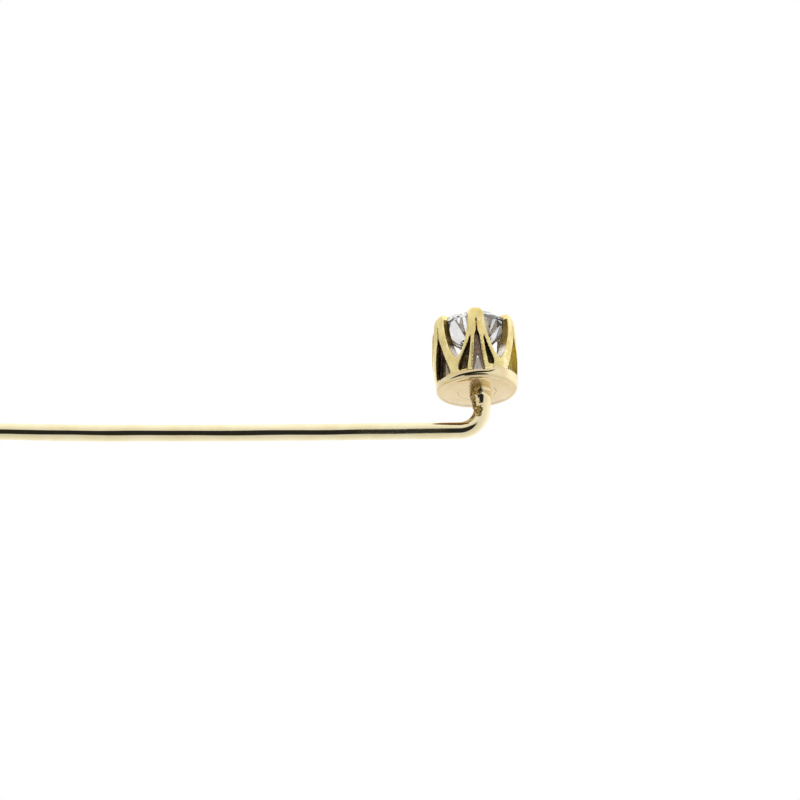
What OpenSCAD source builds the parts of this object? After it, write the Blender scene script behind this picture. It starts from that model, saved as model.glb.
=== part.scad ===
// Solitaire stick pin: a round brilliant in a six-prong crown on a bent wire, with a ball-lock clutch.
// The straight run of the wire lies on the Z axis. The wire bends at the origin and the stone faces -Y.

/* [Pin wire] */
// Diameter of the round wire
wire_d = 1.0; // [0.9:0.05:1.1]
// Full-diameter straight run, from the bend to the start of the taper
straight_len = 41; // [34:1:46]
// Slow taper that ends under the clutch
taper_len = 9; // [7:1:11]
// Diameter of the wire at the end of the taper
taper_end_d = 0.84; // [0.8:0.02:0.88]
// Length of the sharp point
point_len = 4; // [3:0.5:4.5]
// Centreline radius of the right-angle bend
bend_r = 1.4; // [1.2:0.05:1.6]
// Distance from the wire axis to the underside of the base disc
head_drop = 2.53; // [2.4:0.01:3]

/* [Base disc] */
// Diameter of the base disc
disc_d = 4.92; // [4.8:0.02:5]
// Thickness of the base disc
disc_t = 0.42; // [0.4:0.02:0.6]
// Rounding of the lower edge of the disc
disc_edge_r = 0.2; // [0.1:0.02:0.38]
// How far the stem sits from the centre of the disc
stem_offset = 0.3; // [0:0.05:0.5]
// Lean of the head out of square with the wire, in degrees
head_lean = 3; // [0:0.5:4]
// Radius of the solder where it meets the disc
solder_foot_r = 0.78; // [0.74:0.02:1]
// Radius of the solder collar round the stem
solder_collar_r = 0.66; // [0.56:0.01:0.7]
// Height of the solder collar
solder_collar_h = 0.4; // [0.2:0.05:0.5]
// How far the solder runs down the stem
solder_len = 1; // [0.7:0.05:1.1]

/* [Stone] */
// Girdle diameter of the round brilliant
stone_d = 4.38; // [4.34:0.01:4.4]
// Height of the middle of the girdle above the underside of the disc
girdle_z = 4.15; // [4.1:0.01:4.2]
// Girdle thickness
girdle_t = 0.12; // [0.08:0.01:0.14]
// Crown angle
crown_angle = 34; // [32:0.5:36]
// Pavilion angle
pavilion_angle = 41.2; // [40:0.2:42]
// Table width as a share of the girdle
table_share = 0.56; // [0.53:0.01:0.6]
// Turn of the stone in its seat, in degrees
stone_turn = 12; // [0:1:22]

/* [Crown head] */
// Angle of the first prong round the head axis
prong_phase = 4; // [-6:1:6]
// Greatest radius of the barrel-shaped head
head_r = 2.61; // [2.59:0.01:2.64]
// Depth of the pockets and slots in the prongs
pocket_depth = 0.42; // [0.3:0.02:0.44]

/* [Clutch] */
// Outside diameter of the clutch housing
housing_d = 4.2; // [4.2:0.1:4.8]
// Length of the clutch housing
housing_len = 5.4; // [5.4:0.1:5.8]
// Length of the pull knob
knob_len = 6; // [5.5:0.5:7]
// Diameter of the pull knob
knob_d = 3.8; // [3.4:0.1:4.4]
// Number of flutes round the knob
knob_flutes = 20; // [12:2:24]
// Diameter of the locking balls
ball_d = 0.76; // [0.72:0.01:0.78]
// Number of turns in the return spring
spring_turns = 5; // [4:1:6]

/* [Hidden] */
$fn = 96;

gold = [0.86, 0.7, 0.36];
old_gold = [0.72, 0.52, 0.22];
clear = [0.9, 0.93, 0.96];
steel = [0.7, 0.71, 0.73];

wire_r = wire_d / 2;
taper_end_r = taper_end_d / 2;
disc_r = disc_d / 2;

// stone
stone_r = stone_d / 2;
girdle_top = girdle_z + girdle_t / 2;
girdle_low = girdle_z - girdle_t / 2;
table_r = table_share * stone_r;
table_z = girdle_top + (stone_r - table_r) * tan(crown_angle);
table_edge_r = table_r * cos(22.5);
star_r = (table_edge_r + stone_r) / 2;
star_z = girdle_top + (stone_r - star_r * cos(22.5)) * tan(crown_angle);
lower_tip_r = 0.23 * stone_r;
lower_tip_z = girdle_low - (stone_r - lower_tip_r * cos(22.5)) * tan(pavilion_angle);
culet_z = girdle_low - stone_r * tan(pavilion_angle);

// A ring of n points at radius r and height z, turned by shift
function ring(n, r, z, shift) = [
    for (i = [0:n - 1]) [r * cos(360 / n * i + shift), r * sin(360 / n * i + shift), z]
];
// Corner numbers: the table, the star tips, the girdle's upper and lower edges, the lower tips, the culet
function tab(i) = i % 8;
function star(i) = 8 + (i + 8) % 8;
function top_edge(j) = 16 + j % 16;
function low_edge(j) = 32 + j % 16;
function tip(i) = 48 + (i + 8) % 8;
culet = 56;

stone_corners = concat(
    ring(8, table_r, table_z, 0), ring(8, star_r, star_z, 22.5), ring(16, stone_r, girdle_top, 0),
    ring(16, stone_r, girdle_low, 0), ring(8, lower_tip_r, lower_tip_z, 22.5), [[0, 0, culet_z]]
);
crown_facets = concat(
    [[for (i = [7:-1:0]) tab(i)]],
    [for (i = [0:7]) [tab(i), tab(i + 1), star(i)]],
    [for (i = [0:7]) [tab(i), star(i), top_edge(2 * i), star(i - 1)]],
    [for (i = [0:7]) [star(i), top_edge(2 * i + 1), top_edge(2 * i)]],
    [for (i = [0:7]) [star(i), top_edge(2 * i + 2), top_edge(2 * i + 1)]]
);
pavilion_facets = concat(
    [for (j = [0:15]) [top_edge(j), top_edge(j + 1), low_edge(j + 1), low_edge(j)]],
    [for (i = [0:7]) [low_edge(2 * i), low_edge(2 * i + 1), tip(i)]],
    [for (i = [0:7]) [low_edge(2 * i + 1), low_edge(2 * i + 2), tip(i)]],
    [for (i = [0:7]) [low_edge(2 * i), tip(i), culet, tip(i - 1)]]
);

module diamond() {
    color(clear, 0.6)
        head_pose()
            rotate([0, 0, stone_turn])
                polyhedron(points = stone_corners, faces = concat(crown_facets, pavilion_facets));
}

// Places the head: its local Z is the axis of the stone, and z = 0 is the underside of the disc.
module head_pose() {
    translate([0, -head_drop, bend_r])
        rotate([90 + head_lean, 0, 0])
            translate([0, -stem_offset, 0])
                children();
}

// crown head
prongs = 6;
seat_gap = 0.012;
tip_z = girdle_top + 0.39;
wall_profile = [
    [2.02, disc_t], [disc_r, disc_t], [head_r - 0.09, 0.95], [head_r - 0.035, 1.5],
    [head_r - 0.008, 2.1], [head_r, 2.7], [head_r - 0.005, 3.3], [head_r - 0.02, 3.75],
    [head_r - 0.06, 4.12], [head_r - 0.13, 4.36], [head_r - 0.24, 4.53], [head_r - 0.39, tip_z - 0.04],
    [head_r - 0.54, tip_z], [head_r - 0.68, tip_z - 0.03], [head_r - 0.76, tip_z - 0.1],
    [stone_r - 0.32, girdle_top + 0.235], [stone_r + seat_gap, girdle_top + seat_gap],
    [stone_r + seat_gap, girdle_low - seat_gap], [stone_r - 0.07, girdle_low - 0.085],
    [2.09, 1.9], [2.05, 1.0]
];

// Half-width of a prong at each height. The first ones meet the next prong, the last ones round the tip.
prong_edge = [
    [disc_t - 0.2, 1.7], [1.2, 1.7], [1.25, 1.32], [1.34, 1.24], [1.45, 1.15], [1.65, 1.03], [1.9, 0.92],
    [2.15, 0.83], [2.55, 0.71], [2.9, 0.62], [3.3, 0.55], [3.7, 0.5], [4.05, 0.475], [4.22, 0.44],
    [4.36, 0.38], [4.46, 0.3], [4.54, 0.2], [4.59, 0.09]
];
// Open triangle at the foot of every prong
arch_edge = [[disc_t - 0.2, 0.33], [0.6, 0.26], [0.9, 0.18], [1.2, 0.1], [1.5, 0.02]];
// Blind slot that runs up the middle of every prong
slot_edge = [
    [disc_t - 0.2, 0.4], [0.75, 0.34], [1.22, 0.29], [1.69, 0.24], [2.15, 0.195], [2.6, 0.15],
    [2.8, 0.11], [2.93, 0.06], [3.75, 0.04]
];
// Hollow round the ribs on every second prong
rib_edge = [
    [0.5, 0.97], [0.62, 1.02], [0.75, 1.03], [1.22, 0.9], [1.69, 0.74], [2.17, 0.58], [2.5, 0.47],
    [2.75, 0.37], [2.95, 0.25], [3.1, 0.1], [3.13, 0.03]
];
// Leaf-shaped pocket beside each rib: height, near edge, far edge
pocket_edges = [
    [0.55, 0.69, 0.99], [0.65, 0.66, 1.03], [0.75, 0.645, 1.03], [1.22, 0.57, 0.9], [1.69, 0.49, 0.74],
    [2.17, 0.43, 0.58], [2.5, 0.385, 0.485], [2.75, 0.35, 0.4]
];
// Single deep lancet on the prongs between
lancet_edge = [
    [0.5, 0.7], [0.6, 0.75], [0.9, 0.69], [1.2, 0.61], [1.5, 0.52], [1.8, 0.43], [2.1, 0.34],
    [2.4, 0.24], [2.65, 0.13], [2.75, 0.04]
];
rib_depth = 0.28;
rib_top = 2.9;

function flipped(list) = [for (i = [len(list) - 1:-1:0]) list[i]];

// Cuts a shape drawn in (width, height) outward from the head axis, from the radius start.
module radial_cut(start) {
    translate([start, 0, 0])
        rotate([90, 0, 90])
            linear_extrude(height = 2)
                children();
}

// The outline between a list of half-widths and its mirror image
module two_sided(edge) {
    side = [for (e = edge) [e[1], e[0]]];
    polygon(concat(side, flipped([for (q = side) [-q[0], q[1]]])));
}

module pocket_shape() {
    near = [for (e = pocket_edges) [e[1], e[0]]];
    far = [for (e = pocket_edges) [e[2], e[0]]];
    polygon(concat(near, flipped(far)));
}

// Repeats a cut round the head, on every step-th prong from the given one.
module each_prong(first, step) {
    for (i = [first:step:prongs - 1])
        rotate([0, 0, prong_phase + 360 / prongs * i])
            radial_cut(1.2)
                children();
}

module leaf_pockets() {
    pocket_shape();
    mirror([1, 0])
        pocket_shape();
}

module prong_basket() {
    floor_r = head_r - pocket_depth;
    color(gold)
        head_pose()
            difference() {
                intersection() {
                    rotate_extrude()
                        polygon(wall_profile);
                    each_prong(0, 1)
                        two_sided(prong_edge);
                }
                each_prong(0, 1)
                    two_sided(arch_edge);
                difference() {
                    union() {
                        each_prong(0, 1)
                            two_sided(slot_edge);
                        each_prong(0, 2)
                            leaf_pockets();
                        each_prong(1, 2)
                            two_sided(lancet_edge);
                    }
                    cylinder(r = floor_r, h = 5);
                }
                difference() {
                    each_prong(0, 2)
                        two_sided(rib_edge);
                    cylinder(r1 = head_r - rib_depth, r2 = head_r, h = rib_top);
                    translate([0, 0, rib_top])
                        cylinder(r = head_r, h = 1);
                }
            }
}

// base disc
edge_steps = 8;
disc_profile = concat(
    [[0, disc_t], [0, 0]],
    [for (i = [0:edge_steps]) [disc_r - disc_edge_r + disc_edge_r * sin(90 * i / edge_steps),
                               disc_edge_r - disc_edge_r * cos(90 * i / edge_steps)]],
    [[disc_r, disc_t]]
);

module base_plate() {
    color(gold)
        head_pose()
            rotate_extrude()
                polygon(disc_profile);
}

// solder joint, a collar under the disc that thins down the stem
solder_end_r = wire_r + 0.01;
solder_profile = concat(
    [[wire_r, 0.4], [wire_r, -solder_len]],
    [for (t = [0:0.125:1]) [solder_end_r + (solder_collar_r - solder_end_r) * t * t,
                            (solder_len - solder_collar_h) * t - solder_len]],
    [[solder_collar_r + 0.02, -0.1], [solder_foot_r, 0], [solder_foot_r, 0.4]]
);

module solder_joint() {
    color(old_gold)
        difference() {
            translate([0, -head_drop, bend_r])
                rotate([90, 0, 0])
                    rotate_extrude()
                        polygon(solder_profile);
            head_pose()
                cylinder(r = 8, h = 8);
        }
}

// pin wire
module pin_wire() {
    color(gold) {
        difference() {
            translate([0, 0, bend_r])
                rotate([90, 0, 0])
                    translate([0, 0, bend_r])
                        cylinder(r = wire_r, h = head_drop - bend_r + 0.5);
            head_pose()
                cylinder(r = 8, h = 8);
        }
        translate([0, -bend_r, 0])
            rotate([90, 0, 90])
                rotate_extrude(angle = 90)
                    translate([bend_r, 0])
                        circle(r = wire_r);
        translate([0, 0, -straight_len])
            cylinder(r = wire_r, h = straight_len);
        translate([0, 0, -straight_len - taper_len])
            cylinder(r1 = taper_end_r, r2 = wire_r, h = taper_len);
        translate([0, 0, -straight_len - taper_len - point_len])
            cylinder(r1 = 0.04, r2 = taper_end_r, h = point_len);
    }
}

// clutch
mouth_s = straight_len + taper_len - 4;
mouth_r = wire_r + 0.12;
cone_angle = 12;
ball_r = ball_d / 2;
ball_s = 1.6;
ball_wire_r = wire_r + (taper_end_r - wire_r) * (mouth_s + ball_s - straight_len) / taper_len;
ball_orbit = ball_wire_r + ball_r;
cone_mid_r = ball_orbit + ball_r / cos(cone_angle) + 0.015;
cone_start = 0.55;
cone_end = 3;
cone_start_r = cone_mid_r - (ball_s - cone_start) * tan(cone_angle);
cone_end_r = cone_mid_r + (cone_end - ball_s) * tan(cone_angle);
housing_r = housing_d / 2;
retainer_s = housing_len - 0.8;
retainer_t = 0.5;
retainer_r = cone_end_r + 0.13;
lip_r = retainer_r - 0.25;
cage_bore_r = wire_r + 0.08;
collar_start = 1.05;
collar_end = 2.3;
collar_r = cone_mid_r - (ball_s - collar_start) * tan(cone_angle) - 0.05;
shank_r = cage_bore_r + 0.24;
knob_start = housing_len + 0.35;
knob_r = knob_d / 2;
knob_bore_end = knob_start + knob_len - 0.9;
spring_wire_r = 0.1;
spring_r = shank_r + 0.05 + spring_wire_r;
spring_start = collar_end + spring_wire_r + 0.01;
spring_end = retainer_s - spring_wire_r - 0.01;

// Places the clutch: its local Z runs down the pin toward the point, from the mouth of the clutch.
module clutch_pose() {
    translate([0, 0, -mouth_s])
        rotate([180, 0, 0])
            children();
}

housing_profile = [
    [mouth_r, 0.12], [mouth_r + 0.12, 0], [housing_r - 0.75, 0], [housing_r - 0.3, 0.1],
    [housing_r - 0.08, 0.35], [housing_r, 0.7], [housing_r, 3.4], [housing_r - 0.12, 3.6],
    [housing_r - 0.12, 4.1], [housing_r, 4.3], [housing_r, housing_len - 0.2],
    [housing_r - 0.2, housing_len], [lip_r, housing_len], [lip_r, retainer_s + retainer_t + 0.01],
    [retainer_r, retainer_s + retainer_t + 0.01], [retainer_r, retainer_s], [cone_end_r, retainer_s],
    [cone_end_r, cone_end], [cone_start_r, cone_start], [mouth_r, cone_start]
];

module clutch_housing() {
    color(gold)
        clutch_pose()
            rotate_extrude()
                polygon(housing_profile);
}

module clutch_retainer() {
    color(steel)
        clutch_pose()
            translate([0, 0, retainer_s + 0.005])
                difference() {
                    cylinder(r = retainer_r - 0.01, h = retainer_t);
                    translate([0, 0, -1])
                        cylinder(r = shank_r + 0.05, h = retainer_t + 2);
                }
}

module clutch_cage() {
    color(steel)
        clutch_pose()
            difference() {
                union() {
                    translate([0, 0, collar_start])
                        cylinder(r = collar_r, h = collar_end - collar_start);
                    translate([0, 0, collar_end])
                        cylinder(r = shank_r, h = knob_start + 1.2 - collar_end);
                }
                translate([0, 0, -1])
                    cylinder(r = cage_bore_r, h = knob_start + 3);
                for (i = [0:2])
                    rotate([0, 0, 120 * i])
                        translate([0, 0, ball_s])
                            rotate([0, 90, 0])
                                cylinder(r = ball_r + 0.02, h = 3);
            }
}

module clutch_knob() {
    color(gold)
        clutch_pose()
            difference() {
                rotate_extrude()
                    polygon(knob_profile);
                for (i = [0:knob_flutes - 1])
                    rotate([0, 0, 360 / knob_flutes * i])
                        translate([knob_r + 0.1, 0, knob_start + 0.7])
                            cylinder(r = 0.2, h = knob_len - 2.6);
            }
}

dome_steps = 8;
dome_h = 1.2;
knob_profile = concat(
    [[shank_r + 0.01, knob_start], [knob_r - 0.25, knob_start], [knob_r, knob_start + 0.25]],
    [for (i = [0:dome_steps]) [0.35 + (knob_r - 0.35) * cos(90 * i / dome_steps),
                               knob_start + knob_len - dome_h + dome_h * sin(90 * i / dome_steps)]],
    [[0, knob_start + knob_len], [0, knob_bore_end], [cage_bore_r, knob_bore_end - 0.4],
     [cage_bore_r, knob_start + 1.21], [shank_r + 0.01, knob_start + 1.21]]
);

module clutch_ball(i) {
    color(steel)
        clutch_pose()
            rotate([0, 0, 120 * i])
                translate([ball_orbit, 0, ball_s])
                    sphere(r = ball_r);
}

module clutch_ball_1() {
    clutch_ball(0);
}

module clutch_ball_2() {
    clutch_ball(1);
}

module clutch_ball_3() {
    clutch_ball(2);
}

// return spring, a swept helix with one closed turn at each end
spring_sides = 8;
turn_steps = 24;
spring_steps = spring_turns * turn_steps;
function spring_rise(t) = t < 1 ? 0.2 * t * t : (t > spring_turns - 1
    ? spring_top - 0.2 * (spring_turns - t) * (spring_turns - t)
    : 0.2 + (t - 1) / (spring_turns - 2) * (spring_top - 0.4));
spring_top = spring_end - spring_start;

function spring_point(i, k) = let (
    turn = 360 * i / turn_steps,
    tilt = 360 * k / spring_sides,
    r = spring_r + spring_wire_r * cos(tilt)
) [r * cos(turn), r * sin(turn), spring_start + spring_rise(i / turn_steps) + spring_wire_r * sin(tilt)];

module clutch_spring() {
    points = [for (i = [0:spring_steps]) for (k = [0:spring_sides - 1]) spring_point(i, k)];
    skin = [for (i = [0:spring_steps - 1]) for (k = [0:spring_sides - 1])
        let (a = i * spring_sides + k, b = i * spring_sides + (k + 1) % spring_sides)
            [a, a + spring_sides, b + spring_sides, b]];
    first = [for (k = [0:spring_sides - 1]) k];
    last = [for (k = [spring_sides - 1:-1:0]) spring_steps * spring_sides + k];
    color(steel)
        clutch_pose()
            polyhedron(points = points, faces = concat([first], skin, [last]));
}

diamond();
prong_basket();
base_plate();
solder_joint();
pin_wire();
clutch_housing();
clutch_retainer();
clutch_cage();
clutch_knob();
clutch_ball_1();
clutch_ball_2();
clutch_ball_3();
clutch_spring();
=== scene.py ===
import math

import bmesh
import bpy
import numpy as np
from mathutils import Matrix, Vector, noise


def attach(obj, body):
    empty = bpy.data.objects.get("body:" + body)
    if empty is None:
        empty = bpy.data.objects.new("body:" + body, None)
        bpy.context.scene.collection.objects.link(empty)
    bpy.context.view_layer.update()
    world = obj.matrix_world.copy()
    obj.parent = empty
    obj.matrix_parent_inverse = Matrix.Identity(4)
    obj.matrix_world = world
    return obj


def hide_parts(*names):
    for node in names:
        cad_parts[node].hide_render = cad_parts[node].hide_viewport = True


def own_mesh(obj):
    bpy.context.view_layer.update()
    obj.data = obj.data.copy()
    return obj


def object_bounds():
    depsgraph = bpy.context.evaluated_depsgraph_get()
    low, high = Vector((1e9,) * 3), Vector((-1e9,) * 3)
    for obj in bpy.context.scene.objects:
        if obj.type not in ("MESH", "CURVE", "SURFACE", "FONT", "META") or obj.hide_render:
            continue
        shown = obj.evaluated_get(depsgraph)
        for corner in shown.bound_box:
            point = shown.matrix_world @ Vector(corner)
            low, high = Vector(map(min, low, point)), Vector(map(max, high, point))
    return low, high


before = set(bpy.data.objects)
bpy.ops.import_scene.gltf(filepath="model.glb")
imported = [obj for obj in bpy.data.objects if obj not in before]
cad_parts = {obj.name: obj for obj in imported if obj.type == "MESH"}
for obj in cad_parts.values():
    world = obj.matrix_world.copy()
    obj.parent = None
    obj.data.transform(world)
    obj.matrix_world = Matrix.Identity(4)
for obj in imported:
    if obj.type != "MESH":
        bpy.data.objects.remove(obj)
cad_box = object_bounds()

# Lengths here are millimetres, and MM turns them into the scene's metres.
MM = 0.001

# Driving sizes, the same as the CAD part's
WIRE_R = 0.5
STRAIGHT = 41.0
TAPER = 9.0
TAPER_R = 0.42
POINT = 4.0
BEND_R = 1.4
HEAD_DROP = 2.53
HEAD_LEAN = 3.0
STEM_OFFSET = 0.3
DISC_R = 2.46
DISC_T = 0.42
DISC_EDGE = 0.2
HEAD_R = 2.61
PRONGS = 6
PRONG_PHASE = 4.0
# How far each hand-finished prong stands out of its place, in degrees
PRONG_SHIFT = (-1.4, 2.2, -0.5, 0.6, 0.0, -1.6)
STONE_R = 2.19
STONE_TURN = 12.0
TABLE_SHARE = 0.56
CROWN_ANGLE = 34.0
PAVILION_ANGLE = 41.2
# How far out from the axis the lower facets' tips are, as a share of the stone's radius
TIP_SHARE = 0.23
GIRDLE_Z = 4.15
GIRDLE_T = 0.12
GIRDLE_TOP = GIRDLE_Z + GIRDLE_T / 2
GIRDLE_LOW = GIRDLE_Z - GIRDLE_T / 2
TIP_Z = GIRDLE_TOP + 0.39

HEAD = (
    Matrix.Translation((0, -HEAD_DROP, BEND_R))
    @ Matrix.Rotation(math.radians(90 + HEAD_LEAN), 4, "X")
    @ Matrix.Translation((0, -STEM_OFFSET, 0))
)
STEM = Matrix.Translation((0, -HEAD_DROP, BEND_R)) @ Matrix.Rotation(math.radians(90), 4, "X")
# The clutch's mouth, measured down the wire, stays this far above the end of the taper.
MOUTH_BACK = 4.0
MOUTH_S = STRAIGHT + TAPER - MOUTH_BACK
CLUTCH = Matrix.Translation((0, 0, -MOUTH_S)) @ Matrix.Rotation(math.radians(180), 4, "X")


# ---------------------------------------------------------------- mesh helpers

def unit(value):
    """The value, kept between 0 and 1."""
    return min(1.0, max(0.0, value))


def smooth_line(points, per):
    """A Catmull-Rom curve through the points, with per steps between neighbours, as tuples."""
    pts = [Vector(p) for p in points]
    last = len(pts) - 1
    out = []
    for i in range(last):
        a, b, c, d = (pts[min(max(i + k, 0), last)] for k in (-1, 0, 1, 2))
        for s in range(per):
            t = s / per
            out.append(
                0.5 * (2 * b + (c - a) * t + (2 * a - 5 * b + 4 * c - d) * t * t
                       + (3 * b - a - 3 * c + d) * t ** 3)
            )
    out.append(pts[-1])
    return [tuple(p) for p in out]


def mesh_object(name, verts, faces, place=None):
    """A new smooth-shaded object from points, moved by a matrix."""
    mesh = bpy.data.meshes.new(name)
    mesh.from_pydata([tuple(v) for v in verts], [], faces)
    mesh.update()
    if place is not None:
        mesh.transform(place)
    obj = bpy.data.objects.new(name, mesh)
    bpy.context.scene.collection.objects.link(obj)
    mesh.shade_smooth()
    return obj


def lathe(name, profile, steps, closed=False, place=None):
    """Turns an (r, z) outline round Z. A closed outline joins its last point to its first."""
    verts, rings = [], []
    for r, z in profile:
        if r == 0:
            # A point on the axis is one vertex for the whole turn.
            rings.append([len(verts)] * steps)
            verts.append((0, 0, z))
        else:
            rings.append(list(range(len(verts), len(verts) + steps)))
            for k in range(steps):
                a = 2 * math.pi * k / steps
                verts.append((r * math.cos(a), r * math.sin(a), z))
    faces = []
    count = len(rings)
    for i in range(count if closed else count - 1):
        a, b = rings[i], rings[(i + 1) % count]
        for k in range(steps):
            j = (k + 1) % steps
            face = []
            for v in (a[k], a[j], b[j], b[k]):
                if v not in face:
                    face.append(v)
            if len(face) > 2:
                faces.append(face)
    obj = mesh_object(name, verts, faces, place)
    outward(obj)
    return obj


def outward(obj):
    """Turns every face of a closed mesh outward."""
    bm = bmesh.new()
    bm.from_mesh(obj.data)
    bmesh.ops.recalc_face_normals(bm, faces=bm.faces)
    bm.to_mesh(obj.data)
    bm.free()


def sweep(name, path, radii, sides):
    """A round bar along a list of points, with its own radius at each point and flat ends."""
    pts = [Vector(p) for p in path]
    tangents = []
    for i in range(len(pts)):
        tangents.append((pts[min(i + 1, len(pts) - 1)] - pts[max(i - 1, 0)]).normalized())
    side = Vector((1, 0, 0))
    if abs(tangents[0].dot(side)) > 0.9:
        side = Vector((0, 1, 0))
    verts, faces = [], []
    for p, t, r in zip(pts, tangents, radii):
        side = (side - t * side.dot(t)).normalized()
        up = t.cross(side)
        for k in range(sides):
            a = 2 * math.pi * k / sides
            verts.append(p + (side * math.cos(a) + up * math.sin(a)) * r)
    for i in range(len(pts) - 1):
        for k in range(sides):
            j = (k + 1) % sides
            faces.append((i * sides + k, i * sides + j, (i + 1) * sides + j, (i + 1) * sides + k))
    faces.append(tuple(range(sides))[::-1])
    faces.append(tuple((len(pts) - 1) * sides + k for k in range(sides)))
    obj = mesh_object(name, verts, faces)
    outward(obj)
    return obj


def prism(name, outline, start, end, turn):
    """An outline drawn in (width, height), pushed outward from the head axis at a heading."""
    n = len(outline)
    verts = [(start, u, h) for u, h in outline] + [(end, u, h) for u, h in outline]
    faces = [tuple(range(n)), tuple(range(2 * n - 1, n - 1, -1))]
    faces += [(i, n + i, n + (i + 1) % n, (i + 1) % n) for i in range(n)]
    obj = mesh_object(name, verts, faces, Matrix.Rotation(math.radians(turn), 4, "Z"))
    outward(obj)
    return obj


def use_modifier(obj, kind, **values):
    """Applies one modifier to the object's mesh."""
    mod = obj.modifiers.new(kind.lower(), kind)
    for key, value in values.items():
        setattr(mod, key, value)
    dg = bpy.context.evaluated_depsgraph_get()
    mesh = bpy.data.meshes.new_from_object(obj.evaluated_get(dg))
    obj.modifiers.clear()
    old = obj.data
    obj.data = mesh
    bpy.data.meshes.remove(old)


def boolean(obj, cutter, operation):
    use_modifier(obj, "BOOLEAN", object=cutter, operation=operation, solver="EXACT")


def remove(*objs):
    for o in objs:
        bpy.data.objects.remove(o, do_unlink=True)


def to_metres(obj, place):
    """Moves a mesh in local millimetres to its place in the scene."""
    obj.data.transform(Matrix.Scale(MM, 4) @ place)
    obj.data.shade_smooth()


def piece(obj, body, slot, material, *nodes):
    """Finishes a piece: gives it its material, puts it under its body and hides the CAD nodes it stands
    for.
    """
    obj.data.materials.clear()
    obj.data.materials.append(material)
    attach(obj, body)
    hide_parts(*nodes)


# ---------------------------------------------------------------- materials

# Colours are linear red, green and blue. Pairs and stops are what a noise runs between. The distance
# of a bump is in metres, and the scale of a noise is per metre.
CROWN_LIGHT = (0.92, 0.78, 0.36)
CROWN_DEEP = (0.68, 0.53, 0.2)
# A painted highlight for the crown's sharp edges, and painted shade for its creases
CROWN_EDGE_HIGHLIGHT = (1.0, 0.9, 0.58)
CROWN_CREASE_SHADE = (0.3, 0.2, 0.06)
# Painted shade in the crown's cuts, from olive through brown to black as it deepens
OLIVE = ((0.74, 0.62, 0.21), (0.92, 0.82, 0.36))
BROWN = ((0.12, 0.075, 0.06), (0.42, 0.32, 0.23))
BLACK_STOPS = [(0.38, (0.02, 0.014, 0.01)), (0.56, (0.1, 0.08, 0.042)), (0.72, (0.34, 0.23, 0.14))]
# Painted shade for the prongs' cut sides, and a painted highlight and painted glow for their lower cut
# sides and inner faces
CUT_SIDE_SHADE = ((0.12, 0.075, 0.018), (0.36, 0.25, 0.085))
INNER_HIGHLIGHT = (1.0, 0.94, 0.84)
INNER_PAINTED_GLOW = (0.2, 0.185, 0.17)
# Painted shade for the disc's underside
DISC_UNDER_SHADE = (0.66, 0.5, 0.28)
# A near-black painted dark reflection for the disc's rim, also painted as a faint dark ring underneath
DISC_DARK_LINE = (0.012, 0.008, 0.004)
# A painted brown reflection for a thin line on the wire
BROWN_REFLECTION = (0.2, 0.1, 0.04)
GRAIN_STOPS = [(0.34, (0.04, 0.022, 0.005)), (0.46, (0.2, 0.12, 0.03)), (0.57, (0.52, 0.37, 0.13)),
               (0.7, (0.95, 0.84, 0.48))]

# Spots, each a centre, a reach and a raggedness. The solder ran along the disc toward its rim, down
# the inside of the bend, and below the joint.
RUN_OUT = ((1.1, -2.5, 1.0), (1.1, 0.5, 0.36), 1.0)
INNER_BEND = ((0.05, -1.55, 0.8), (0.6, 1.25, 0.3))
BELOW_JOINT = ((0.42, -1.14, 1.2), (0.4, 0.42, 0.22), 1.3)
# A thin brown line of painted reflection and a duller stretch, both where the straight run starts
TOP_LINE = ((0.43, -0.25, -0.5), (0.35, 0.085, 1.1), 0.4)
STRAIGHT_START = ((0.5, 0.1, -3.4), (1.0, 1.0, 2.8), 0.2)

# What the crown's attributes say: how deep the painted shade of a slot is, and the painted light level
# of the inner face
SLOT_SHADE = 0.6
INNER_LEVEL = 0.7


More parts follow.
